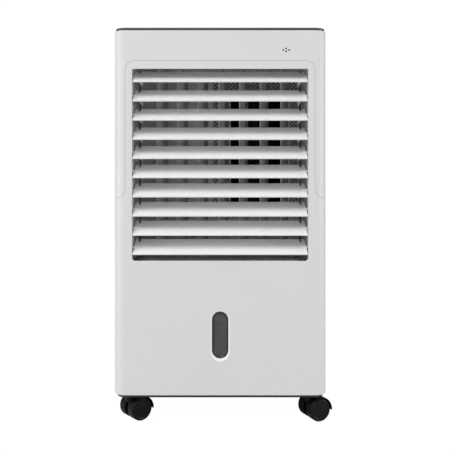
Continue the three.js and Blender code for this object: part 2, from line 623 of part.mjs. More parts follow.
// ---- Casters ------------------------------------------------------------------------------------
/** Hood, web, stem and axle of one caster, about its stem, wheels trailing towards +X. */
function casterFork() {
  const c = CASTER;
  const z = c.wheelRadius;
  const from = rad(c.hoodFrom);
  const to = rad(c.hoodTo);
  const hood = new THREE.Shape();
  hood.absarc(c.trail, z, c.hoodOuter, from, to);
  hood.absarc(c.trail, z, c.hoodInner, to, from, true);
  const web = new THREE.Shape();
  web.absarc(c.trail, z, c.hoodInner + 0.5, from, to);
  web.absarc(c.trail, z, c.hubRadius, rad(225), rad(315));
  const wells = [[-c.hoodHalf - 1, -c.webHalf], [c.webHalf, c.hoodHalf + 1]].map(([near, far]) => rod(
    'y', c.trail, z, c.hoodInner, near, far, ROUND.bar + 1));
  const shell = join(
    prism(hood, 'y', -c.hoodHalf, c.hoodHalf, ROUND.hood),
    prism(web, 'y', -c.webHalf, c.webHalf, ROUND.hood),
    rod('z', 0, 0, c.collarRadius, z + 6, z + c.hoodOuter),
    rod('z', 0, 0, c.stemRadius, z + 10, c.stemTop),
  );
  const axle = rod('y', c.trail, z, c.axleRadius, -c.axleHalf, c.axleHalf);
  return cut(shell, ...wells).add(axle);
}

/** One caster wheel with its axle along Y, from the web outwards, centred on the axle. */
function casterWheel() {
  const c = CASTER;
  const near = c.webHalf + RUN;
  const far = near + c.wheelWidth;
  const bore = c.axleRadius + RUN;
  const r = c.wheelRadius;
  const edge = c.wheelEdge;
  const rimInner = r - edge - c.wheelRim;
  const profile = [
    [bore, near], [r - 1.5, near], [r, near + 1.5], [r, far - edge], [r - 0.3 * edge, far - 0.3 * edge],
    [r - edge, far], [rimInner, far], [rimInner - c.wheelDish, far - c.wheelDish], [bore, far - c.wheelDish],
    [bore, near],
  ].map(([radius, height]) => new THREE.Vector2(radius, height));
  return solid(new THREE.LatheGeometry(profile, ROUND.lathe));
}

// ---- Assembly -----------------------------------------------------------------------------------
const cooler = new THREE.Group();

/** Adds a piece to the assembly, as a named mesh placed by position and rotation. */
function add(name, body, material, { parent = cooler, position = [0, 0, 0], rotation = [0, 0, 0] } = {}) {
  const mesh = new THREE.Mesh(geometryOf(body), material);
  mesh.name = name;
  mesh.position.set(...position);
  mesh.rotation.set(...rotation);
  parent.add(mesh);
}

add('front_panel', frontPanel(), WHITE);
add('main_housing', mainHousing(), WHITE);
add('rear_panel', rearPanel(), WHITE);
add('base_plate', basePlate(), DARK_GREY);
add('top_cover', topCover(), CHARCOAL);
add('display_window', displayWindow(), SMOKE);
add('level_window', levelWindow(), SMOKE);
add('remote_receiver', remoteReceiver(), BLACK);
add('control_board', controlBoard(), BOARD_GREEN);
['power', 'speed', 'cool', 'swing'].forEach((use, i) => add(`button_${use}`, button(BUTTON.xs[i]), WHITE));

add('outlet_duct', outletDuct(), GREY_WALL);
indices(LOUVRE.count).forEach((i) => add(
  `louvre_${String(i + 1).padStart(2, '0')}`, louvre(), BLADE_WHITE,
  { position: [0, LOUVRE.pivotY, louvreZ(i)], rotation: [rad(LOUVRE.droop), 0, 0] }));
add('louvre_link_left', louvreLink(-1), DARK_GREY);
add('louvre_link_right', louvreLink(1), DARK_GREY);
indices(VANE.count).forEach((i) => add(
  `vane_${i + 1}`, vane(), VANE_GREY,
  { position: [vaneX(i), VANE.y, 0], rotation: [0, 0, rad(VANE.turn)] }));
add('vane_link', vaneLink(), DARK_GREY);
add('swing_crank', swingCrank(), WHITE, {
  position: [CRANK.x, VANE.y, 0], rotation: [0, 0, rad(VANE.turn)],
});
add('swing_motor', swingMotor(), STEEL);

add('blower_housing', blowerHousing(), BLACK);
add('blower_wheel', blowerWheel(), BLACK, { position: [BLOWER.x, BLOWER.y, 0] });
add('blower_motor', blowerMotor(), STEEL);

add('intake_grille', intakeGrille(), WHITE);
add('dust_filter', dustFilter(), DARK_GREY);
add('cooling_pad', coolingPad(), CELLULOSE);
add('water_distributor', waterDistributor(), WHITE);

add('water_tank', waterTank(), TANK_GREY);
add('drain_plug', drainPlug(), DARK_GREY);
add('pump_body', pumpBody(), BLACK);
add('riser_hose', riserHose(), WHITE);
add('power_cord', powerCord(), RUBBER);

CORNERS.forEach(({ name, sx, sy, yaw }) => {
  const caster = new THREE.Group();
  caster.position.set(sx * CASTER.x, sy * CASTER.y, 0);
  caster.rotation.z = rad(yaw);
  cooler.add(caster);
  add(`caster_fork_${name}`, casterFork(), BLACK, { parent: caster });
  const axle = [CASTER.trail, 0, CASTER.wheelRadius];
  add(`caster_wheel_${name}_a`, casterWheel(), BLACK, { parent: caster, position: axle });
  add(`caster_wheel_${name}_b`, casterWheel(), BLACK, {
    parent: caster, position: axle, rotation: [0, 0, Math.PI],
  });
});

export default cooler;
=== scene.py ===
"""Evaporative cooler: surfaces, materials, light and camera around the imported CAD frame.

Everything is in metres in the frame's own axes: +X is the viewer's right, -Y the front, +Z up.
Finer shapes stand in for the CAD casing, base plate, level window, buttons, casters, blower wheel,
pad, filter, hose, mains lead and drain plug; every other CAD part stays and gets softened edges and
a procedural material.
"""

import json
import math

import bmesh
import bpy
from mathutils import Matrix, Vector


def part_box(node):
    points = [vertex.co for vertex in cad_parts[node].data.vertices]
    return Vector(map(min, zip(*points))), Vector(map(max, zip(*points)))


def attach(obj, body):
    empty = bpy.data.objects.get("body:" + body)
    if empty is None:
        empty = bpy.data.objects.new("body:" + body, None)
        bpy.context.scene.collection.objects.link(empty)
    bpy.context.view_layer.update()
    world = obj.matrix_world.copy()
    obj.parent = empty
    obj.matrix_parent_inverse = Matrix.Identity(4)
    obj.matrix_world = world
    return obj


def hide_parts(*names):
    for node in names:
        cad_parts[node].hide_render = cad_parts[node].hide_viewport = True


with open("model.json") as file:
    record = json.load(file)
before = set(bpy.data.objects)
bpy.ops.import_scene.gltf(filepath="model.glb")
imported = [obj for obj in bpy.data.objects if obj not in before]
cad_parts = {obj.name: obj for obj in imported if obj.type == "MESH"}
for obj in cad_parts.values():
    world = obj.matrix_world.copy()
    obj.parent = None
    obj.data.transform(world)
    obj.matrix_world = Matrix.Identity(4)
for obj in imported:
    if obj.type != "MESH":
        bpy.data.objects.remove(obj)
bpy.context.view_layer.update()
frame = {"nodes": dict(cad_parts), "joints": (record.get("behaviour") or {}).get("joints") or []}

MM = 0.001
TAU = 2 * math.pi
SAME_POINT = 0.02 * MM  # points nearer than this are merged

# ---- Sizes read from the frame ------------------------------------------------------------------
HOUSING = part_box("main_housing")
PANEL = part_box("front_panel")
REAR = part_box("rear_panel")
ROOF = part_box("top_cover")
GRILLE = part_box("intake_grille")
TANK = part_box("water_tank")
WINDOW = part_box("level_window")
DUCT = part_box("outlet_duct")
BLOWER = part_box("blower_housing")
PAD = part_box("cooling_pad")
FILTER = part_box("dust_filter")
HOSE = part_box("riser_hose")
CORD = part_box("power_cord")
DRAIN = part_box("drain_plug")
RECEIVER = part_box("remote_receiver")

SIDE = HOUSING[1].x
FRONT = HOUSING[0].y
BACK = HOUSING[1].y
FOOT = PANEL[0].z
CEILING = HOUSING[1].z
WALL = 3 * MM  # thickness of the moulded shells
SEAM = 0.2 * MM  # the groove between the two front shells
CORNER = 22 * MM  # plan radius of the cabinet's corners
FILLET = 0.9 * MM  # rounding of the shells' edges
ARCH = 171 * MM  # half width of the front panel's arch
ARCH_TOP = PANEL[1].z + SEAM / 2
ARCH_CORNER = 17 * MM
SHOULDER = 407 * MM  # height where the panel widens to the full width
FLARE = 16.5 * MM  # radius of the curve from the arch to the shoulder
PANEL_RETURN = PANEL[1].y - FRONT  # how far the panel wraps onto the sides
OUTLET = {"half": 158.5 * MM, "bottom": 294 * MM, "top": 639.3 * MM, "foot": 6 * MM, "head": 2.5 * MM}
MOUTH_LEFT = 21 * MM  # the duct's rear wall covers the blower's outlet to the left of this
DUCT_WALL = 2.7 * MM
WINDOW_MID = (WINDOW[0].z + WINDOW[1].z) / 2
WINDOW_HALF = (14.85 * MM, 42.15 * MM)
BUTTONS = ("power", "speed", "cool", "swing")
CORNERS = ("front_left", "front_right", "rear_left", "rear_right")
CORD_RADIUS = 3 * MM
LEAD_HOLE = (CORD[0].x + CORD_RADIUS, 271 * MM)
JOINTS = {joint["name"]: Vector(joint["pos_m"]) for joint in frame["joints"] if joint.get("pos_m")}


# ---- Materials ----------------------------------------------------------------------------------
class Nodes:
    """A short way to write a node material: every method adds a node and returns its output."""

    def __init__(self, name):
        self.material = bpy.data.materials.new(name)
        self.material.use_nodes = True
        self.tree = self.material.node_tree
        self.shader = self.tree.nodes["Principled BSDF"]
        self.place = self.add("ShaderNodeTexCoord").outputs["Object"]

    def add(self, kind, **values):
        node = self.tree.nodes.new(kind)
        for key, value in values.items():
            setattr(node, key, value)
        return node

    def link(self, source, target):
        self.tree.links.new(source, target)

    def feed(self, node, socket, value):
        if hasattr(value, "is_output"):
            self.link(value, node.inputs[socket])
        else:
            node.inputs[socket].default_value = value

    def noise(self, scale, detail=3.0, stretch=None):
        node = self.add("ShaderNodeTexNoise")
        place = self.place
        if stretch:
            mapping = self.add("ShaderNodeMapping")
            mapping.inputs["Scale"].default_value = stretch
            self.link(place, mapping.inputs["Vector"])
            place = mapping.outputs["Vector"]
        self.link(place, node.inputs["Vector"])
        node.inputs["Scale"].default_value = scale
        node.inputs["Detail"].default_value = detail
        return node.outputs["Fac"]

    def ramp(self, value, low, high, start=0.0, end=1.0):
        node = self.add("ShaderNodeMapRange")
        self.link(value, node.inputs["Value"])
        for socket, number in (("From Min", start), ("From Max", end), ("To Min", low), ("To Max", high)):
            node.inputs[socket].default_value = number
        return node.outputs["Result"]

    def mix(self, factor, a, b):
        node = self.add("ShaderNodeMix", data_type="RGBA")
        self.feed(node, 0, factor)
        self.feed(node, 6, a)
        self.feed(node, 7, b)
        return node.outputs[2]

    def math(self, operation, a, b=0.0):
        node = self.add("ShaderNodeMath", operation=operation)
        self.feed(node, 0, a)
        self.feed(node, 1, b)
        return node.outputs[0]

    def edges(self, radius):
        """1 on sharp edges, 0 on flat faces."""
        bevel = self.add("ShaderNodeBevel", samples=4)
        bevel.inputs["Radius"].default_value = radius
        geometry = self.add("ShaderNodeNewGeometry")
        dot = self.add("ShaderNodeVectorMath", operation="DOT_PRODUCT")
        self.link(bevel.outputs["Normal"], dot.inputs[0])
        self.link(geometry.outputs["Normal"], dot.inputs[1])
        return self.ramp(dot.outputs["Value"], 1.0, 0.0, 0.82, 0.99)

    def bump(self, height, strength, distance):
        node = self.add("ShaderNodeBump")
        self.link(height, node.inputs["Height"])
        node.inputs["Strength"].default_value = strength
        node.inputs["Distance"].default_value = distance
        self.link(node.outputs["Normal"], self.shader.inputs["Normal"])

    def set(self, **values):
        for socket, value in values.items():
            self.feed(self.shader, socket.replace("_", " "), value)
        return self.material


def tone(colour, factor):
    return tuple(min(1.0, c * factor) for c in colour) + (1.0,)


def plastic(name, colour, roughness, grain=0.25, wear=0.12, mottle=0.03, coat=0.0, shine=0.5):
    """Moulded plastic: slight mottling, a spark-eroded grain, uneven gloss and rubbed edges."""
    n = Nodes(name)
    cloud = n.noise(9.0, 4.0)
    body = n.mix(n.ramp(cloud, 0.0, 1.0, 0.3, 0.7), tone(colour, 1 - mottle), tone(colour, 1 + mottle))
    rim = n.math("MULTIPLY", n.edges(1.2 * MM), n.ramp(n.noise(60.0), 0.2, 1.0, 0.35, 0.65))
    body = n.mix(n.math("MULTIPLY", rim, wear), body, tone(colour, 1.35))
    gloss = n.math("ADD", n.ramp(n.noise(26.0), roughness - 0.05, roughness + 0.05, 0.3, 0.7),
                   n.math("MULTIPLY", rim, -0.06))
    n.bump(n.noise(1100.0, 2.0), grain, 0.08 * MM)
    return n.set(
        Base_Color=body, Roughness=gloss, Specular_IOR_Level=shine, Coat_Weight=coat, Coat_Roughness=0.25)


def dusty_plastic(name, colour, roughness, dust=0.25, shine=0.5):
    """Dark moulded plastic with a thin film of dust that settles on what faces up."""
    n = Nodes(name)
    geometry = n.add("ShaderNodeNewGeometry")
    split = n.add("ShaderNodeSeparateXYZ")
    n.link(geometry.outputs["Normal"], split.inputs[0])
    up = n.ramp(split.outputs["Z"], 0.0, 0.12, 0.3, 1.0)
    film = n.math("MULTIPLY", up, n.ramp(n.noise(70.0), 0.3, 1.0, 0.35, 0.65))
    base = n.mix(n.ramp(n.noise(14.0), 0.0, 1.0, 0.3, 0.7), tone(colour, 0.9), tone(colour, 1.15))
    rim = n.math("MULTIPLY", n.edges(0.8 * MM), 0.25)
    body = n.mix(film, n.mix(rim, base, tone(colour, 3.0)), tone((dust, 0.97 * dust, 0.9 * dust), 1.0))
    n.bump(n.noise(900.0, 2.0), 0.3, 0.06 * MM)
    gloss = n.ramp(n.noise(30.0), roughness - 0.06, roughness + 0.08, 0.3, 0.7)
    return n.set(Base_Color=body, Roughness=gloss, Specular_IOR_Level=shine)


def smoked(name, colour, roughness=0.12):
    """Polished smoked plastic with faint haze."""
    n = Nodes(name)
    haze = n.noise(35.0, 4.0)
    body = n.mix(n.ramp(haze, 0.0, 1.0, 0.35, 0.65), tone(colour, 0.85), tone(colour, 1.2))
    n.bump(n.noise(500.0, 1.0), 0.05, 0.04 * MM)
    gloss = n.ramp(haze, roughness, roughness + 0.1, 0.3, 0.7)
    return n.set(Base_Color=body, Roughness=gloss, Coat_Weight=0.4)


def brushed(name, colour):
    """Plated sheet steel, drawn along one way."""
    n = Nodes(name)
    streak = n.noise(220.0, 3.0, stretch=(1.0, 1.0, 0.06))
    body = n.mix(n.ramp(streak, 0.0, 1.0, 0.3, 0.7), tone(colour, 0.85), tone(colour, 1.08))
    n.bump(streak, 0.12, 0.03 * MM)
    return n.set(Base_Color=body, Metallic=1.0, Roughness=n.ramp(streak, 0.25, 0.45, 0.3, 0.7))


def cellulose(name, colour):
    """Resin-stiffened paper: fibrous, dark where water runs down it."""
    n = Nodes(name)
    fibre = n.noise(420.0, 5.0, stretch=(1.0, 1.0, 0.3))
    stain = n.noise(16.0, 4.0, stretch=(1.0, 1.0, 0.25))
    body = n.mix(n.ramp(fibre, 0.0, 1.0, 0.3, 0.7), tone(colour, 0.75), tone(colour, 1.2))
    body = n.mix(n.ramp(stain, 0.0, 0.55, 0.45, 0.7), body, tone(colour, 0.5))
    n.bump(fibre, 0.5, 0.15 * MM)
    return n.set(Base_Color=body, Roughness=0.93)


def rubber(name, colour):
    """Matt flexible PVC or rubber."""
    n = Nodes(name)
    body = n.mix(n.ramp(n.noise(40.0), 0.0, 1.0, 0.3, 0.7), tone(colour, 0.85), tone(colour, 1.3))
    n.bump(n.noise(700.0), 0.25, 0.06 * MM)
    return n.set(Base_Color=body, Roughness=n.ramp(n.noise(90.0), 0.55, 0.75, 0.3, 0.7))


MATERIALS = {
    "shell": plastic("satin_white_shell", (0.68, 0.68, 0.68), 0.42, grain=0.18, wear=0.1, mottle=0.012),
    "louvre": plastic("white_louvre", (0.85, 0.85, 0.85), 0.36, grain=0.1, wear=0.1, mottle=0.01, coat=0.1),
    "button": plastic("pale_button", (0.6, 0.6, 0.59), 0.3, grain=0.1, coat=0.2),
    "top": plastic(
        "charcoal_top", (0.062, 0.0625, 0.065), 0.35, grain=0.22, wear=0.25, mottle=0.06, coat=0.15),
    "base": dusty_plastic("dark_base", (0.025, 0.025, 0.026), 0.5, 0.15),
    "duct": plastic("grey_duct", (0.62, 0.62, 0.62), 0.5, grain=0.4, wear=0.1, mottle=0.05),
    "lattice": plastic("grey_lattice", (0.17, 0.171, 0.173), 0.5, grain=0.3, wear=0.1, mottle=0.07),
    "vane": plastic("grey_vane", (0.40, 0.401, 0.404), 0.45, grain=0.3, wear=0.3, mottle=0.06),
    "link": plastic("dark_link", (0.05, 0.05, 0.052), 0.45, grain=0.25, wear=0.2),
    "black": plastic(
        "black_moulding", (0.006, 0.006, 0.0062), 0.6, grain=0.35, wear=0.1, mottle=0.1, shine=0.15),
    "caster": dusty_plastic("black_nylon", (0.0035, 0.0035, 0.0037), 0.34, 0.06, 0.16),
    "smoke": smoked("smoked_window", (0.046, 0.0465, 0.048)),
    "rim": plastic("dark_window_rim", (0.025, 0.0255, 0.027), 0.3, grain=0.1, wear=0.2),
    "steel": brushed("plated_steel", (0.55, 0.56, 0.57)),
    "pad": cellulose("wet_pad_paper", (0.30, 0.19, 0.09)),
    "mesh": plastic("nylon_mesh", (0.03, 0.03, 0.031), 0.6),
    "tank": plastic("milky_tank", (0.5, 0.52, 0.53), 0.38, grain=0.12, mottle=0.02),
    "hose": rubber("milky_hose", (0.55, 0.56, 0.55)),
    "cord": rubber("black_cord", (0.016, 0.016, 0.017)),
    "board": plastic("lacquered_board", (0.02, 0.09, 0.04), 0.3, grain=0.1),
    "white": plastic("white_gear_plastic", (0.66, 0.66, 0.64), 0.4),
}


# ---- Mesh helpers -------------------------------------------------------------------------------
def arc(cx, cy, radius, start, end, steps=10):
    """Points along an arc, in degrees, both ends included."""
    angles = (math.radians(start + (end - start) * i / steps) for i in range(steps + 1))
    return [(cx + radius * math.cos(a), cy + radius * math.sin(a)) for a in angles]


def rounded_rect(x0, x1, y0, y1, radius, steps=8):
    return (
        arc(x1 - radius, y0 + radius, radius, -90, 0, steps)
        + arc(x1 - radius, y1 - radius, radius, 0, 90, steps)
        + arc(x0 + radius, y1 - radius, radius, 90, 180, steps)
        + arc(x0 + radius, y0 + radius, radius, 180, 270, steps)
    )


def circle(cx, cy, radius, steps=24):
    return arc(cx, cy, radius, 0, 360, steps)[:-1]


def piece(name, bm, body, material, replaces=(), sharp=35.0):
    """Turns a bmesh into a finished, smooth-shaded piece that rides on a body."""
    bmesh.ops.recalc_face_normals(bm, faces=bm.faces)
    mesh = bpy.data.meshes.new(name)
    bm.to_mesh(mesh)
    bm.free()
    mesh.shade_smooth()
    mesh.set_sharp_from_angle(angle=math.radians(sharp))
    obj = bpy.data.objects.new(name, mesh)
    bpy.context.scene.collection.objects.link(obj)
    mesh.materials.append(MATERIALS[material])
    even = obj.modifiers.new("even_shading", "WEIGHTED_NORMAL")
    even.keep_sharp = True
    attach(obj, body)
    if replaces:
        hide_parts(*replaces)
    return obj


def mesh_of(curve):
    """A curve's solid as an editable mesh; the curve itself goes."""
    holder = bpy.data.objects.new("curve", curve)
    bpy.context.scene.collection.objects.link(holder)
    depsgraph = bpy.context.evaluated_depsgraph_get()
    mesh = bpy.data.meshes.new_from_object(holder.evaluated_get(depsgraph))
    bm = bmesh.new()
    bm.from_mesh(mesh)
    bmesh.ops.remove_doubles(bm, verts=bm.verts, dist=0.002 * MM)
    bpy.data.objects.remove(holder)
    bpy.data.curves.remove(curve)
    bpy.data.meshes.remove(mesh)
    return bm


def sheet(outlines, thickness, fillet, steps=3):
    """A flat plate with rounded edges, from z = 0 up; of its closed outlines the inner ones are holes."""
    curve = bpy.data.curves.new("outline", "CURVE")
    curve.dimensions = "2D"
    curve.fill_mode = "BOTH"
    curve.extrude = thickness / 2 - fillet
    curve.bevel_depth = fillet
    curve.bevel_resolution = steps - 1
    curve.offset = -fillet
    for points in outlines:
        spline = curve.splines.new("POLY")
        spline.points.add(len(points) - 1)
        for point, (x, y) in zip(spline.points, points):
            point.co = (x, y, 0, 1)
        spline.use_cyclic_u = True
    bm = mesh_of(curve)
    bmesh.ops.translate(bm, verts=bm.verts, vec=(0, 0, thickness / 2))
    return bm


def tube(points, radius):
    """A round bar along a smooth path through the points."""
    curve = bpy.data.curves.new("path", "CURVE")
    curve.dimensions = "3D"
    curve.bevel_depth = radius
    curve.bevel_resolution = 4
    curve.use_fill_caps = True
    spline = curve.splines.new("BEZIER")
    spline.bezier_points.add(len(points) - 1)
    spline.resolution_u = 8
    for knot, point in zip(spline.bezier_points, points):
        knot.co = point
        knot.handle_left_type = "AUTO"
        knot.handle_right_type = "AUTO"
    return mesh_of(curve)


def joined(bm, other):
    """Puts another mesh's bodies into the first."""
    mesh = bpy.data.meshes.new("joined")
    other.to_mesh(mesh)
    other.free()
    bm.from_mesh(mesh)
    bpy.data.meshes.remove(mesh)
    return bm


def slice_at(bm, positions):
    """Cuts the mesh at these x positions, so that it can bend there."""
    for x in positions:
        everything = list(bm.verts) + list(bm.edges) + list(bm.faces)
        bmesh.ops.bisect_plane(bm, geom=everything, dist=1e-7, plane_co=(x, 0, 0), plane_no=(1, 0, 0))


FLAT = SIDE - CORNER
BEND = CORNER * math.pi / 2
SIDE_RUN = BACK - FRONT - 2 * CORNER
GIRTH = 2 * (FLAT + BEND) + SIDE_RUN  # from the front's middle to the back's middle


def around(s, depth):
    """The plan point this far round the cabinet from the front's middle, and this deep below its skin."""
    run = abs(s)
    sign = 1 if s >= 0 else -1
    if run <= FLAT:
        x, y = run, FRONT + depth
    elif run <= FLAT + BEND:
        a = (run - FLAT) / CORNER
        x = FLAT + (CORNER - depth) * math.sin(a)
        y = FRONT + CORNER - (CORNER - depth) * math.cos(a)
    elif run <= FLAT + BEND + SIDE_RUN:
        x, y = SIDE - depth, FRONT + CORNER + run - FLAT - BEND
    elif run <= FLAT + 2 * BEND + SIDE_RUN:
        a = (run - FLAT - BEND - SIDE_RUN) / CORNER
        x = FLAT + (CORNER - depth) * math.cos(a)
        y = BACK - CORNER + (CORNER - depth) * math.sin(a)
    else:
        x, y = GIRTH - run, BACK - depth
    return sign * x, y


def wrap(bm):
    """Bends a flat sheet, drawn as (distance round the cabinet, height), round the cabinet's plan."""
    steps = 14
    bends = [FLAT + BEND * i / steps for i in range(steps + 1)]
    bends += [FLAT + BEND + SIDE_RUN + BEND * i / steps for i in range(steps + 1)]
    slice_at(bm, [sign * b for b in bends for sign in (-1, 1)])
    for v in bm.verts:
        s, z, depth = v.co
        x, y = around(s, depth)
        v.co = (x, y, z)
    return bm


def upright(bm, y):
    """Stands a flat sheet up behind a plane: its outline's y becomes height."""
    for v in bm.verts:
        x, z, depth = v.co
        v.co = (x, y + depth, z)
    return bm


def rings(outline, profile, place):
    """A closed solid of stacked rings: outline(inset) gives the points of each (inset, height) pair."""
    bm = bmesh.new()
    loops = []
    for inset, height in profile:
        loops.append([bm.verts.new(place(a, b, height)) for a, b in outline(inset)])
    for low, high in zip(loops, loops[1:]):
        for i in range(len(low)):
            j = (i + 1) % len(low)
            bm.faces.new((low[i], low[j], high[j], high[i]))
    bm.faces.new(list(reversed(loops[0])))
    bm.faces.new(loops[-1])
    return bm


def close_loops(bm, loops):
    """Skins a ring-shaped body: each loop of points joins the next, and the last joins the first."""
    for a, b in zip(loops, loops[1:] + loops[:1]):
        for i in range(len(a)):
            j = (i + 1) % len(a)
            bm.faces.new((a[i], a[j], b[j], b[i]))


def lathe(profile, place, steps=64):
    """A body turned from a closed (radius, height) profile."""
    bm = bmesh.new()
    loops = []
    for i in range(steps):
        a = TAU * i / steps
        loops.append([bm.verts.new(place(r * math.cos(a), r * math.sin(a), h)) for r, h in profile])
    for i in range(steps):
        near, far = loops[i], loops[(i + 1) % steps]
        for k in range(len(profile)):
            m = (k + 1) % len(profile)
            bm.faces.new((near[k], near[m], far[m], far[k]))
    return bm


def bar(bm, a, b, width, depth, normal):
    """Adds a square bar between two points: depth runs along the normal, width across it."""
    a, b, normal = Vector(a), Vector(b), Vector(normal).normalized()
    along = (b - a).normalized()
    across = along.cross(normal) * (width / 2)
    out = normal * (depth / 2)
    turns = ((1, 1), (-1, 1), (-1, -1), (1, -1))
    v = [bm.verts.new(end + i * across + k * out) for end in (a, b) for i, k in turns]
    for face in ((3, 2, 1, 0), (4, 5, 6, 7), (0, 1, 5, 4), (1, 2, 6, 5), (2, 3, 7, 6), (3, 0, 4, 7)):
        bm.faces.new([v[i] for i in face])


def dress(node, material, bevel=0.5 * MM, segments=2):
    """Gives a CAD node softened edges and a material."""
    obj = frame["nodes"][node]
    obj.data.materials.clear()
    obj.data.materials.append(MATERIALS[material])
    normals = obj.data.attributes.get("custom_normal")
    if normals:
        obj.data.attributes.remove(normals)
    obj.data.shade_smooth()
    weld = obj.modifiers.new("weld", "WELD")
    weld.merge_threshold = 0.01 * MM
    merge = obj.modifiers.new("merge_flats", "DECIMATE")
    merge.decimate_type = "DISSOLVE"
    merge.angle_limit = math.radians(0.5)
    edge = obj.modifiers.new("soft_edges", "BEVEL")
    edge.width = bevel
    edge.segments = segments
    edge.limit_method = "ANGLE"
    edge.angle_limit = math.radians(40)
    edge.harden_normals = True
    return obj


# ---- Casing -------------------------------------------------------------------------------------
def front_outline(grow, foot):
    """The front panel's outline in (distance round the cabinet, height), grown outwards."""
    arch, top, corner = ARCH + grow, ARCH_TOP + grow, ARCH_CORNER + grow
    shoulder, flare = SHOULDER + grow, FLARE - grow
    edge = FLAT + BEND + (PANEL_RETURN - CORNER) + grow + SEAM / 2
    right = (
        [(edge, foot), (edge, shoulder)]
        + arc(arch + flare, shoulder + flare, flare, 270, 180)
        + arc(arch - corner, top - corner, corner, 0, 90)
    )
    return right + [(-x, z) for x, z in reversed(right)]


def window_outline(side, above, below):
    """The level window's capsule, grown by these amounts beside, above and below it."""
    w, h = WINDOW_HALF
    a = w + side
    return rounded_rect(-a, a, WINDOW_MID - h - below, WINDOW_MID + h + above, a * 0.999, 16)


def front_panel():
    half, foot, head = OUTLET["half"], OUTLET["foot"], OUTLET["head"]
    bottom, top = OUTLET["bottom"] + foot, OUTLET["top"] - head
    outlet = (
        arc(half - foot, bottom, foot, -90, 0)
        + arc(half - head, top, head, 0, 90)
        + arc(head - half, top, head, 90, 180)
        + arc(foot - half, bottom, foot, 180, 270)
    )
    window = window_outline(1.6 * MM, 1.3 * MM, 4.5 * MM)
    bm = sheet([front_outline(-SEAM / 2, FOOT), outlet, window], WALL, FILLET, 4)
    piece("front_panel_shell", wrap(bm), "cabinet", "shell", ["front_panel"])


def main_housing():
    rear_edge = GIRTH - REAR[1].x - SEAM / 2
    notch = front_outline(SEAM / 2, FOOT)
    right = [p for p in notch if p[0] > 0]
    left = [p for p in notch if p[0] < 0]
    outline = right + left
    outline += [(-rear_edge, FOOT), (-rear_edge, CEILING), (rear_edge, CEILING), (rear_edge, FOOT)]
    cx = (RECEIVER[0].x + RECEIVER[1].x) / 2
    cz = (RECEIVER[0].z + RECEIVER[1].z) / 2
    places = ((-5.2, 0), (5.2, 0), (0, -2.7), (0, 2.7))  # four small holes in a diamond, in mm
    dots = [circle(cx + dx * MM, cz + dz * MM, 1.6 * MM) for dx, dz in places]
    bm = sheet([outline] + dots, WALL, 0.4 * MM, 3)
    piece("main_housing_shell", wrap(bm), "cabinet", "shell", ["main_housing"])


def rear_panel():
    gap = 0.6 * MM
    x = REAR[1].x
    outline = rounded_rect(-x, x, REAR[0].z, REAR[1].z, 1.5 * MM)
    intake, drawer = (
        rounded_rect(low.x - gap, high.x + gap, low.z - gap, high.z + gap, 2 * MM)
        for low, high in (GRILLE, TANK)
    )
    lead = circle(*LEAD_HOLE, 4 * MM)
    bm = sheet([outline, intake, drawer, lead], WALL, 0.8 * MM, 3)
    piece("rear_panel_shell", upright(bm, BACK - WALL), "cabinet", "shell", ["rear_panel"])


def top_cover():
    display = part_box("display_window")
    gap = 0.35 * MM
    holes = []
    for use in BUTTONS:
        low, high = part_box(f"button_{use}")
        holes.append(circle((low.x + high.x) / 2, (low.y + high.y) / 2, 8.4 * MM, 40))
    flange = 3 * MM
    holes.append(rounded_rect(
        display[0].x + flange - gap, display[1].x - flange + gap,
        display[0].y + flange - gap, display[1].y - flange + gap, 1.5 * MM))
    inset = SIDE - ROOF[1].x
    outline = rounded_rect(ROOF[0].x, ROOF[1].x, ROOF[0].y, ROOF[1].y, CORNER - inset, 20)
    thickness = 5 * MM
    bm = sheet([outline] + holes, thickness, 1.2 * MM, 4)
    bmesh.ops.translate(bm, verts=bm.verts, vec=(0, 0, ROOF[1].z - thickness))
    piece("top_slab", bm, "cabinet", "top", ["top_cover"])


def button(use):
    """A round key with a soft edge and a shallow dish, on a wider foot under the slab."""
    low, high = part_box(f"button_{use}")
    x, y = (low.x + high.x) / 2, (low.y + high.y) / 2
    profile = [  # radius and height below the key's top, in mm
        (0.01, -9.9), (9.7, -9.9), (10.0, -9.6), (10.0, -7.2), (9.7, -6.9), (8.0, -6.9),
        (8.0, -0.8), (7.75, -0.25), (7.1, 0.0), (6.2, -0.05), (3.0, -0.3), (0.01, -0.4),
    ]
    turned = [(r * MM, high.z + h * MM) for r, h in profile]
    bm = lathe(turned, lambda a, b, h: (x + a, y + b, h), 48)
    bmesh.ops.remove_doubles(bm, verts=bm.verts, dist=SAME_POINT)
    piece(f"key_{use}", bm, f"button_{use}", "button", [f"button_{use}"])


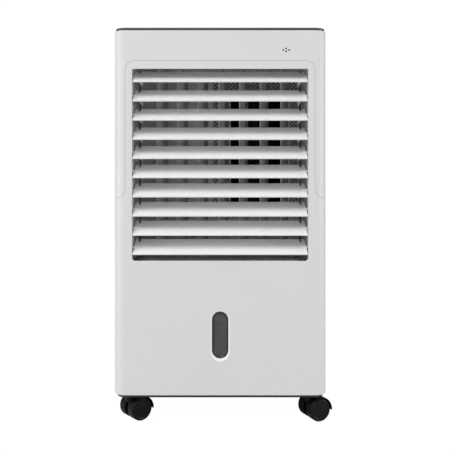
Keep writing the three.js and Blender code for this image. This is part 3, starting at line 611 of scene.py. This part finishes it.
def base_tray():
    """The floor of the cabinet: a ribbed tray with a rim, stem sockets, tank rails and a jacking pad."""
    low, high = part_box("base_plate")
    floor, thickness = low.z + 2 * MM, 5 * MM
    rim_inset, plate_inset, wall = SIDE - high.x, 5 * MM, 3 * MM
    bore, boss_bore = 5.6 * MM, 6.2 * MM  # radii of the holes round each caster's stem
    half_pad, half_rib, half_rail = 30 * MM, 1.1 * MM, 6 * MM
    on_floor, under_floor = floor + 3.5 * MM, floor - 1.2 * MM

    def plan(inset):
        return rounded_rect(-SIDE + inset, SIDE - inset, FRONT + inset, BACK - inset, CORNER - inset, 14)

    stems = [JOINTS[f"caster_{corner}_swivel"] for corner in CORNERS]
    bores = [circle(stem.x, stem.y, bore, 28) for stem in stems]
    bm = sheet([plan(plate_inset)] + bores, thickness, 0.8 * MM, 3)
    bmesh.ops.translate(bm, verts=bm.verts, vec=(0, 0, floor))
    pad = rounded_rect(-half_pad, half_pad, -half_pad, half_pad, 4 * MM)
    parts = [
        (sheet([plan(rim_inset), plan(rim_inset + wall)], 11 * MM, 0.4 * MM, 2), on_floor),
        (sheet([pad], 3 * MM, 0.6 * MM, 3), floor - 2 * MM),
    ]
    for stem in stems:
        socket = [circle(stem.x, stem.y, 12 * MM, 32), circle(stem.x, stem.y, bore, 28)]
        parts.append((sheet(socket, 20 * MM, 0.5 * MM, 2), on_floor))
        boss = [circle(stem.x, stem.y, 14 * MM, 36), circle(stem.x, stem.y, boss_bore, 28)]
        parts.append((sheet(boss, 2.4 * MM, 0.6 * MM, 2), under_floor))
    for x in (-95 * MM, 95 * MM):
        rail = rounded_rect(x - half_rail, x + half_rail, -130 * MM, 140 * MM, 2 * MM)
        parts.append((sheet([rail], 34.2 * MM, 0.5 * MM, 2), on_floor))
    for i in (-3, -2, -1, 1, 2, 3):
        x = i * 40 * MM
        rib = rounded_rect(x - half_rib, x + half_rib, -104 * MM, 104 * MM, 1 * MM)
        parts.append((sheet([rib], 3 * MM, 0.4 * MM, 2), under_floor))
    for i in (-2, -1, 1, 2):
        y = i * 48 * MM
        rib = rounded_rect(-128 * MM, 128 * MM, y - half_rib, y + half_rib, 1 * MM)
        parts.append((sheet([rib], 3 * MM, 0.4 * MM, 2), floor - 1.15 * MM))
    for part, z in parts:
        bmesh.ops.translate(part, verts=part.verts, vec=(0, 0, z))
        bm = joined(bm, part)
    piece("base_tray", bm, "cabinet", "base", ["base_plate"])


def level_window():
    """A smoked, dished lens in a dark rim, inside a white bezel that slopes in, widest below the window."""
    gap = 0.4 * MM

    def outline(inset):
        grow = -gap - inset
        return window_outline(grow, grow, grow)

    def place(x, z, depth):
        return (x, FRONT + depth, z)

    section = [  # inset from the capsule and depth behind the front face, in mm
        (0, 6.0), (0, 2.2), (0.25, 1.5), (0.8, 1.15), (1.8, 1.05), (2.6, 1.25),
        (3.2, 1.8), (3.5, 2.8), (3.9, 3.4), (5.2, 3.8), (7.5, 4.0),
    ]
    ring = [(inset * MM, depth * MM) for inset, depth in section]
    lens_edge, back = 3.2 * MM, 6.0 * MM
    lens = [(3.25 * MM, back)] + [p for p in ring if p[0] >= lens_edge]
    collar = [p for p in ring if p[0] <= lens_edge] + [(lens_edge, back)]
    bm = rings(outline, lens, place)
    piece("window_lens", bm, "cabinet", "smoke", ["level_window"])
    bm = bmesh.new()
    close_loops(bm, [[bm.verts.new(place(x, z, d)) for x, z in outline(i)] for i, d in collar])
    piece("window_rim", bm, "cabinet", "rim")

    steps = [  # how far the bezel reaches beside, above and below the window, and its depth there, in mm
        (0, 0, 0, 2.5), (0, 0, 0, 1.1), (1.2, 1.0, 2.6, 0.35), (2.0, 1.7, 4.9, -0.45),
        (2.4, 2.1, 5.3, -0.4), (2.6, 2.3, 5.5, 0.0), (2.6, 2.3, 5.5, 2.5),
    ]
    bm = bmesh.new()
    loops = []
    for side, above, below, depth in steps:
        capsule = window_outline(side * MM, above * MM, below * MM)
        loops.append([bm.verts.new(place(x, z, depth * MM)) for x, z in capsule])
    close_loops(bm, loops)
    piece("window_bezel", bm, "cabinet", "louvre")


# ---- Air outlet ---------------------------------------------------------------------------------
def outlet_lattice():
    """Diamond lattice on the duct's rear wall, round the blower's mouth."""
    mouth_left, mouth_right = MOUTH_LEFT, BLOWER[1].x - WALL
    mouth_bottom, mouth_top = BLOWER[0].z + WALL, BLOWER[1].z - WALL
    y = DUCT[1].y - DUCT_WALL - 1.2 * MM
    left, right = mouth_left - 35 * MM, mouth_right + 24 * MM
    bottom, top = mouth_bottom - 8 * MM, mouth_top + 34 * MM
    pitch, width, depth = 8 * MM, 1.8 * MM, 1.6 * MM
    crossing = 0.2 * MM  # how far one set of bars lies in front of the other
    toward = (0, 1, 0)
    bm = bmesh.new()

    def inside(x, z):
        in_mouth = mouth_left < x < mouth_right and mouth_bottom < z < mouth_top
        return left <= x <= right and bottom <= z <= top and not in_mouth

    columns = int((right - left) / pitch)
    rows = int((top - bottom) / pitch)
    for i in range(columns):
        for k in range(rows):
            x, z = left + i * pitch, bottom + k * pitch
            ends = ((x, z), (x + pitch, z), (x, z + pitch), (x + pitch, z + pitch))
            if all(inside(*end) for end in ends):
                bar(bm, (x, y, z), (x + pitch, y, z + pitch), width, depth, toward)
                near = y - crossing
                bar(bm, (x + pitch, near, z), (x, near, z + pitch), width, depth, toward)
    piece("outlet_lattice", bm, "cabinet", "lattice")


def blower_wheel():
    """A drum of forward-curved blades between three rings, with a disc and hub at the bottom."""
    low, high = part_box("blower_wheel")
    axis = JOINTS["blower_spin"]
    radius = (high.x - low.x) / 2
    clear = 4 * MM
    bottom, top = BLOWER[0].z + WALL + clear, BLOWER[1].z - WALL - clear
    count, steps, thick = 44, 5, 0.9 * MM
    sweep = math.radians(17)  # how far a blade leans round the drum from its root to its tip
    root, reach = 0.78, 0.21  # where a blade starts and how far it runs out, against the drum's radius
    bm = bmesh.new()
    for i in range(count):
        start = TAU * i / count
        front, back = [], []
        for k in range(steps + 1):
            t = k / steps
            r = radius * (root + reach * t)
            a = start + sweep * t * t
            half = thick / 2 / r
            front.append((axis.x + r * math.cos(a - half), axis.y + r * math.sin(a - half)))
            back.append((axis.x + r * math.cos(a + half), axis.y + r * math.sin(a + half)))
        outline = front + list(reversed(back))
        loops = [[bm.verts.new((x, y, z)) for x, y in outline] for z in (bottom, top)]
        for k in range(len(outline)):
            m = (k + 1) % len(outline)
            bm.faces.new((loops[0][k], loops[0][m], loops[1][m], loops[1][k]))
        bm.faces.new(list(reversed(loops[0])))
        bm.faces.new(loops[1])

    def place(a, b, h):
        return (axis.x + a, axis.y + b, h)

    ring = 3 * MM
    for z in ((bottom + top - ring) / 2, top - ring):
        inner, outer = radius * 0.77, radius
        bm = joined(bm, lathe([(inner, z), (outer, z), (outer, z + ring), (inner, z + ring)], place))
    hub = [(4 * MM, low.z), (4 * MM, high.z), (0.01 * MM, high.z), (0.01 * MM, low.z)]
    disc = [(0.01 * MM, bottom), (radius, bottom), (radius, bottom + ring), (16 * MM, bottom + ring),
            (11 * MM, bottom + 22 * MM), (0.01 * MM, bottom + 22 * MM)]
    bm = joined(joined(bm, lathe(hub, place, 24)), lathe(disc, place))
    bmesh.ops.remove_doubles(bm, verts=bm.verts, dist=0.015 * MM)
    piece("blower_drum", bm, "blower_wheel", "black", ["blower_wheel"], sharp=30)


# ---- Casters ------------------------------------------------------------------------------------
CASTER = {  # trail of the axle behind the stem; the hood's radii and half width; the web's half width
    "trail": 10 * MM,
    "hood_out": 23.6 * MM,
    "hood_in": 21.9 * MM,
    "hood_half": 25.5 * MM,
    "web": 4 * MM,
}
WHEEL_RADIUS = 21 * MM


def caster_frame(corner):
    """The caster's stem, rolling direction and axle as a matrix, read from its swivel and wheel joints."""
    stem = JOINTS[f"caster_{corner}_swivel"]
    hub = JOINTS[f"caster_wheel_{corner}_a_roll"]
    trail = Vector((hub.x - stem.x, hub.y - stem.y, 0)).normalized()
    axle = Vector((-trail.y, trail.x, 0))
    return Matrix((
        (trail.x, axle.x, 0, hub.x),
        (trail.y, axle.y, 0, hub.y),
        (0, 0, 1, hub.z),
        (0, 0, 0, 1),
    ))


def caster_wheel(corner, side):
    matrix = caster_frame(corner)
    sign = 1 if side == "a" else -1
    near, far = 4.6 * MM, 23.9 * MM
    r = WHEEL_RADIUS
    bore, cap = 3.4 * MM, far - 2 * MM
    profile = [
        (bore, near), (r - 1.6 * MM, near), (r - 0.5 * MM, near + 0.4 * MM), (r, near + 1.6 * MM),
        (r, far - 3.6 * MM), (r - 0.3 * MM, far - 2.4 * MM), (r - 1.0 * MM, far - 1.2 * MM),
        (r - 2.2 * MM, far - 0.35 * MM), (r - 3.6 * MM, far), (r - 4.6 * MM, far - 0.15 * MM),
        (r - 5.8 * MM, far - 0.8 * MM), (r - 6.6 * MM, far - 0.95 * MM), (r - 12 * MM, far - 0.45 * MM),
        (0.01 * MM, far - 0.2 * MM), (0.01 * MM, cap), (bore, cap),
    ]

    def place(a, b, h):
        return matrix @ Vector((a, sign * h, b))

    name = f"caster_wheel_{corner}_{side}"
    bm = lathe(profile, place)
    bmesh.ops.remove_doubles(bm, verts=bm.verts, dist=SAME_POINT)
    piece(f"tyre_{corner}_{side}", bm, name, "caster", [name], sharp=50)


def caster_hood(corner):
    """The hood over both wheels, the web between them, the stem's collar and the axle."""
    matrix = caster_frame(corner)
    c = CASTER
    low, high = -4, 118  # degrees from straight behind the axle, over the top
    half, rim = c["hood_half"], 0.7 * MM

    def section(radius, angle, across):
        a = math.radians(angle)
        return matrix @ Vector((radius * math.cos(a), across, radius * math.sin(a)))

    bm = bmesh.new()
    skin = [
        (c["hood_in"], -half + rim), (c["hood_in"] + 0.2 * MM, -half),
        (c["hood_out"] - 0.6 * MM, -half), (c["hood_out"], -half + 1.4 * MM),
    ]
    skin += [(r, -a) for r, a in reversed(skin)]
    steps = 40
    loops = []
    for i in range(steps + 1):
        angle = low + (high - low) * i / steps
        loops.append([bm.verts.new(section(r, angle, a)) for r, a in skin])
    for a, b in zip(loops, loops[1:]):
        for k in range(len(skin)):
            m = (k + 1) % len(skin)
            bm.faces.new((a[k], a[m], b[m], b[k]))
    bm.faces.new(loops[0])
    bm.faces.new(list(reversed(loops[-1])))
    hood = f"caster_hood_{corner}"
    piece(hood, bm, f"caster_{corner}", "caster", [f"caster_fork_{corner}"])

    web = arc(0, 0, c["hood_in"] + 0.4 * MM, low, high, 40)
    web += arc(0, 0, 12 * MM, 225, 315, 10)
    bm = sheet([web], 2 * c["web"], 0.6 * MM)
    for v in bm.verts:
        x, z, depth = v.co
        v.co = matrix @ Vector((x, depth - c["web"], z))
    piece(f"caster_web_{corner}", bm, f"caster_{corner}", "caster")

    stem = matrix @ Vector((-c["trail"], 0, 0))
    profile = [  # radius and height above the axle, in mm
        (0.01, 9.0), (6.5, 9.0), (8.5, 11.0), (10.6, 16.0), (11.6, 20.5), (11.8, 23.0),
        (11.2, 23.6), (5.2, 23.6), (5.0, 24.2), (5.0, 47.4), (4.4, 48.0), (0.01, 48.0),
    ]
    turned = [(r * MM, stem.z + h * MM) for r, h in profile]
    bm = lathe(turned, lambda a, b, h: Vector((stem.x + a, stem.y + b, h)), 40)
    bmesh.ops.remove_doubles(bm, verts=bm.verts, dist=SAME_POINT)
    piece(f"caster_stem_{corner}", bm, f"caster_{corner}", "caster")

    profile = [(0.01, -21.4), (2.6, -21.4), (2.9, -21), (2.9, 21), (2.6, 21.4), (0.01, 21.4)]
    turned = [(r * MM, h * MM) for r, h in profile]
    bm = lathe(turned, lambda a, b, h: matrix @ Vector((a, h, b)), 24)
    bmesh.ops.remove_doubles(bm, verts=bm.verts, dist=SAME_POINT)
    piece(f"caster_axle_{corner}", bm, f"caster_{corner}", "steel")


# ---- Back ---------------------------------------------------------------------------------------
def cooling_pad():
    """Corrugated paper sheets on edge, their flutes slanting alternate ways."""
    low, high = PAD
    pitch = 7 * MM
    swing = 3.2 * MM
    wave = 16 * MM
    count = int((high.x - low.x) / pitch)
    rows, columns = 130, 6
    bm = bmesh.new()
    for i in range(count):
        x0 = low.x + pitch * (i + 0.5)
        slope = 1.0 if i % 2 else -1.0
        grids = []
        for side in (-0.18 * MM, 0.18 * MM):
            grid = []
            for r in range(rows + 1):
                z = low.z + (high.z - low.z) * r / rows
                row = []
                for k in range(columns + 1):
                    y = low.y + (high.y - low.y) * k / columns
                    phase = TAU * (z + slope * 1.3 * y) / wave
                    row.append(bm.verts.new((x0 + side + swing * math.sin(phase), y, z)))
                grid.append(row)
            grids.append(grid)
        for r in range(rows):
            for k in range(columns):
                for grid, flip in zip(grids, (False, True)):
                    quad = [grid[r][k], grid[r][k + 1], grid[r + 1][k + 1], grid[r + 1][k]]
                    bm.faces.new(reversed(quad) if flip else quad)
        front, back = grids
        edge = [(r, 0) for r in range(rows + 1)]
        edge += [(rows, k) for k in range(1, columns + 1)]
        edge += [(r, columns) for r in range(rows - 1, -1, -1)]
        edge += [(0, k) for k in range(columns - 1, 0, -1)]
        for (r0, k0), (r1, k1) in zip(edge, edge[1:] + edge[:1]):
            bm.faces.new((front[r0][k0], front[r1][k1], back[r1][k1], back[r0][k0]))
    piece("pad_flutes", bm, "cabinet", "pad", ["cooling_pad"], sharp=60)


def riser_hose():
    """Soft tube from above the pump's nozzle, up beside the pad and over the trough."""
    radius = 4.5 * MM
    low, high = HOSE
    pad_y = (PAD[0].y + PAD[1].y) / 2
    pipe = low.x + radius
    pump_x, pump_y = -110 * MM, 60 * MM
    top = high.z - radius
    path = [
        (pump_x, pump_y, low.z),
        (pump_x, pump_y, low.z + 18 * MM),
        (pipe + 6 * MM, pad_y - 30 * MM, PAD[0].z - 12 * MM),
        (pipe, pad_y, PAD[0].z + 40 * MM),
        (pipe, pad_y, PAD[1].z - 20 * MM),
        (pipe + 4 * MM, pad_y, top - 6 * MM),
        (pipe + 17 * MM, pad_y, top),
        (pipe + 34 * MM, pad_y, top),
    ]
    piece("riser_tube", tube(path, radius), "cabinet", "hose", ["riser_hose"])


def power_cord():
    """The mains lead, coiled inwards in a flat hank behind its hole in the rear panel."""
    y = BACK + 3.6 * MM
    entry, z = LEAD_HOLE
    half_width, half_height, pitch = 45 * MM, 18 * MM, 8 * MM
    turns, steps = 2, 24
    middle = entry + half_width
    path = [(entry, BACK - 13 * MM, z), (entry, BACK - 2 * MM, z)]
    for i in range(turns * steps + 1):
        turn = i / steps
        angle = math.pi + turn * TAU
        a, b = half_width - turn * pitch, half_height - turn * pitch
        path.append((middle + a * math.cos(angle), y, z - b * math.sin(angle)))
    piece("mains_lead", tube(path, CORD_RADIUS), "cabinet", "cord", ["power_cord"])


def drain_plug():
    """A screw cap with a finger grip across it, on a stem through the tank's face."""
    low, high = DRAIN
    x, z = (low.x + high.x) / 2, (low.z + high.z) / 2
    profile = [  # radius and distance from the stem's end, in mm
        (0.01, 0), (5.6, 0), (6.0, 0.4), (6.0, 9.3), (8.7, 9.3),
        (9.0, 9.6), (9.0, 11.2), (8.6, 11.7), (7.6, 11.9), (0.01, 11.5),
    ]
    turned = [(r * MM, low.y + h * MM) for r, h in profile]
    bm = lathe(turned, lambda a, b, h: (x + a, h, z + b), 40)
    bmesh.ops.remove_doubles(bm, verts=bm.verts, dist=SAME_POINT)
    grip, grip_y = 6 * MM, high.y - 0.6 * MM
    bar(bm, (x - grip, grip_y, z), (x + grip, grip_y, z), 2.4 * MM, 1.2 * MM, (0, 1, 0))
    piece("drain_cap", bm, "drain_plug", "link", ["drain_plug"])


def dust_filter():
    """A frame with a fine crossed mesh."""
    low, high = FILTER
    border = 7 * MM
    outline = rounded_rect(low.x, high.x, low.z, high.z, 2 * MM)
    hole = rounded_rect(low.x + border, high.x - border, low.z + border, high.z - border, 2 * MM)
    thickness = high.y - low.y
    bm = upright(sheet([outline, hole], thickness, 0.5 * MM, 2), low.y)
    piece("filter_frame", bm, "intake_cover", "mesh", ["dust_filter"])
    bm = bmesh.new()
    middle = (low.y + high.y) / 2
    pitch = 4.5 * MM
    wire = 0.7 * MM
    x0, x1, z0, z1 = low.x + border, high.x - border, low.z + border, high.z - border
    for i in range(1, int((x1 - x0) / pitch)):
        x = x0 + i * pitch
        bar(bm, (x, middle, z0), (x, middle, z1), wire, wire, (0, 1, 0))
    for i in range(1, int((z1 - z0) / pitch)):
        z = z0 + i * pitch
        bar(bm, (x0, middle + 0.3 * MM, z), (x1, middle + 0.3 * MM, z), wire, wire, (0, 1, 0))
    piece("filter_wires", bm, "intake_cover", "mesh")


# ---- Assembly -----------------------------------------------------------------------------------
front_panel()
main_housing()
rear_panel()
top_cover()
base_tray()
level_window()
outlet_lattice()
blower_wheel()
cooling_pad()
dust_filter()
riser_hose()
power_cord()
drain_plug()
for use in BUTTONS:
    button(use)
for corner in CORNERS:
    caster_hood(corner)
    for side in "ab":
        caster_wheel(corner, side)

for i in range(1, 11):
    dress(f"louvre_{i:02d}", "louvre", 0.9 * MM, 3)
for side in ("left", "right"):
    dress(f"louvre_link_{side}", "link")
for i in range(1, 8):
    dress(f"vane_{i}", "vane", 0.7 * MM)
for node, material in {
    "vane_link": "link", "swing_crank": "white", "swing_motor": "steel", "outlet_duct": "duct",
    "blower_housing": "black", "blower_motor": "steel",
    "display_window": "smoke", "remote_receiver": "black", "control_board": "board",
    "intake_grille": "shell", "water_distributor": "white", "water_tank": "tank", "pump_body": "black",
}.items():
    dress(node, material)


# ---- Floor, light and camera --------------------------------------------------------------------
def white_floor():
    bm = bmesh.new()
    bmesh.ops.create_grid(bm, x_segments=1, y_segments=1, size=20)
    mesh = bpy.data.meshes.new("floor")
    bm.to_mesh(mesh)
    bm.free()
    floor = bpy.data.objects.new("floor", mesh)
    bpy.context.scene.collection.objects.link(floor)
    n = Nodes("white_floor")
    shade = n.mix(n.ramp(n.noise(2.0), 0.0, 1.0, 0.3, 0.7), (0.56, 0.56, 0.56, 1), (0.6, 0.6, 0.6, 1))
    n.set(Base_Color=shade, Roughness=0.7)
    glow = n.add("ShaderNodeEmission")
    glow.inputs["Strength"].default_value = 1.07
    seen = n.add("ShaderNodeLightPath").outputs["Is Camera Ray"]
    blend = n.add("ShaderNodeMixShader")
    n.link(n.math("MULTIPLY", seen, 0.93), blend.inputs[0])
    n.link(n.shader.outputs[0], blend.inputs[1])
    n.link(glow.outputs[0], blend.inputs[2])
    n.link(blend.outputs[0], n.tree.nodes["Material Output"].inputs["Surface"])
    mesh.materials.append(n.material)


def studio():
    """An even white surround, brighter to the eye than to the object, and four soft lamps."""
    world = bpy.data.worlds.new("studio")
    bpy.context.scene.world = world
    world.use_nodes = True
    tree = world.node_tree
    background = tree.nodes["Background"]
    path = tree.nodes.new("ShaderNodeLightPath")
    strength = tree.nodes.new("ShaderNodeMapRange")
    tree.links.new(path.outputs["Is Camera Ray"], strength.inputs["Value"])
    strength.inputs["To Min"].default_value = 0.46
    strength.inputs["To Max"].default_value = 1.05
    tree.links.new(strength.outputs["Result"], background.inputs["Strength"])
    background.inputs["Color"].default_value = (1, 1, 1, 1)
    for name, place, power, size in (  # where each lamp stands, its watts and its width
        ("key", (-1.7, -3.4, 5.1), 230, 3.4),
        ("left", (-2.6, -1.0, 0.6), 16, 1.2),
        ("right", (2.6, -0.7, 0.6), 22, 1.2),
        ("back", (0.0, 2.4, 2.4), 22, 1.6),
    ):
        lamp = bpy.data.lights.new(name, "AREA")
        lamp.energy = power
        lamp.size = size
        holder = bpy.data.objects.new(name, lamp)
        holder.location = place
        aim = Vector((0, 0, 0.4)) - Vector(place)
        holder.rotation_euler = aim.to_track_quat("-Z", "Y").to_euler()
        bpy.context.scene.collection.objects.link(holder)
    bpy.context.scene.view_settings.view_transform = "Standard"


def camera():
    """Level camera, straight on, lens shifted down: the frame is a known width at the cabinet's face."""
    frame_width = 0.8086
    distance = 1.2
    eye_height = 0.457
    centre = (0.0087, 0.3587)
    data = bpy.data.cameras.new("camera")
    data.sensor_width = 36
    data.lens = data.sensor_width * distance / frame_width
    data.shift_x = centre[0] / frame_width
    data.shift_y = (centre[1] - eye_height) / frame_width
    obj = bpy.data.objects.new("camera", data)
    obj.location = (0, FRONT - distance, eye_height)
    obj.rotation_euler = (math.pi / 2, 0, 0)
    bpy.context.scene.collection.objects.link(obj)
    bpy.context.scene.camera = obj


white_floor()
studio()
camera()
